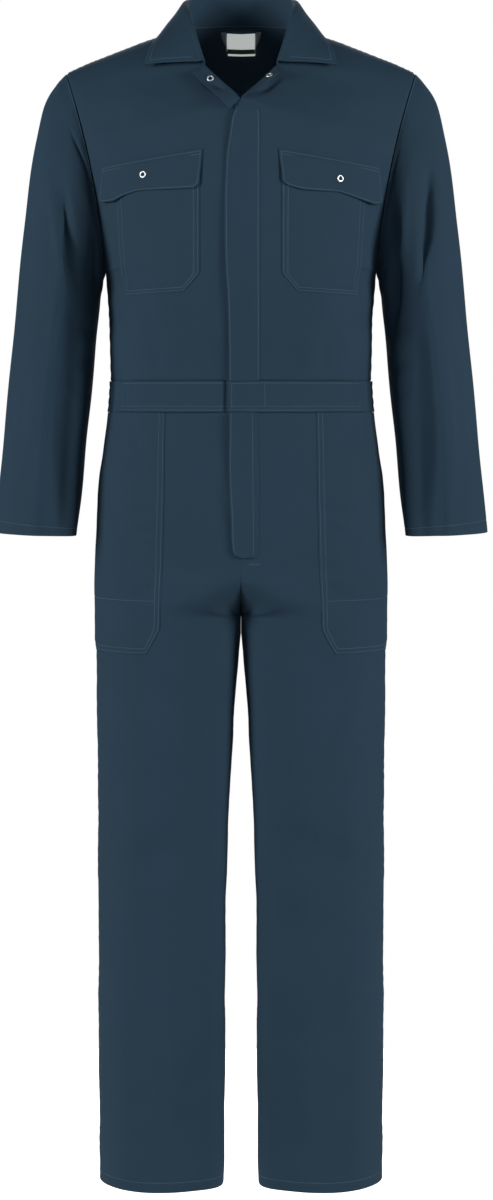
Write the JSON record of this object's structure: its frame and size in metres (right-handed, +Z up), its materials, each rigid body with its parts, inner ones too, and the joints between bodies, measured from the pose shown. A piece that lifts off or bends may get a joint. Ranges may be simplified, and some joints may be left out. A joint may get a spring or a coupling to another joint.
{
  "type": "boiler suit",
  "caption": "Boiler suit with a turned-down collar, covered front closing, flapped chest pockets, hip pockets and long sleeves, filled out as worn.",
  "frame": {"origin": "between the two shoulder neck points, at the middle of the neck opening, where the wearer's shoulders hold the garment up", "axes": "+Z up along the body, +X to the wearer's left, the front faces -Y"},
  "size_m": [0.6766, 0.2884, 1.6411],
  "materials": {
    "twill": "matt dark blue twill",
    "nickel": "bright open ring snaps",
    "tape": "matt pale woven tape"
  },
  "bodies": {
    "root": {"front_left": "twill", "front_right": "twill", "back": "twill", "sleeve_left": "twill", "sleeve_right": "twill", "leg_front_left": "twill", "leg_front_right": "twill", "leg_back_left": "twill", "leg_back_right": "twill", "waistband_left": "twill", "waistband_right": "twill", "waistband_back": "twill", "placket_upper": "twill", "placket_fly": "twill", "collar_stand": "twill", "collar_leaf": "twill", "lapel_left": "twill", "lapel_right": "twill", "chest_pocket_left": "twill", "chest_pocket_right": "twill", "pocket_flap_left": "twill", "pocket_flap_right": "twill", "hip_pocket_left": "twill", "hip_pocket_right": "twill", "flap_snap_left": "nickel", "flap_snap_right": "nickel", "neck_snap_left": "nickel", "neck_snap_right": "nickel", "hanger_loop": "tape", "neck_label": "tape"}
  },
  "joints": []
}
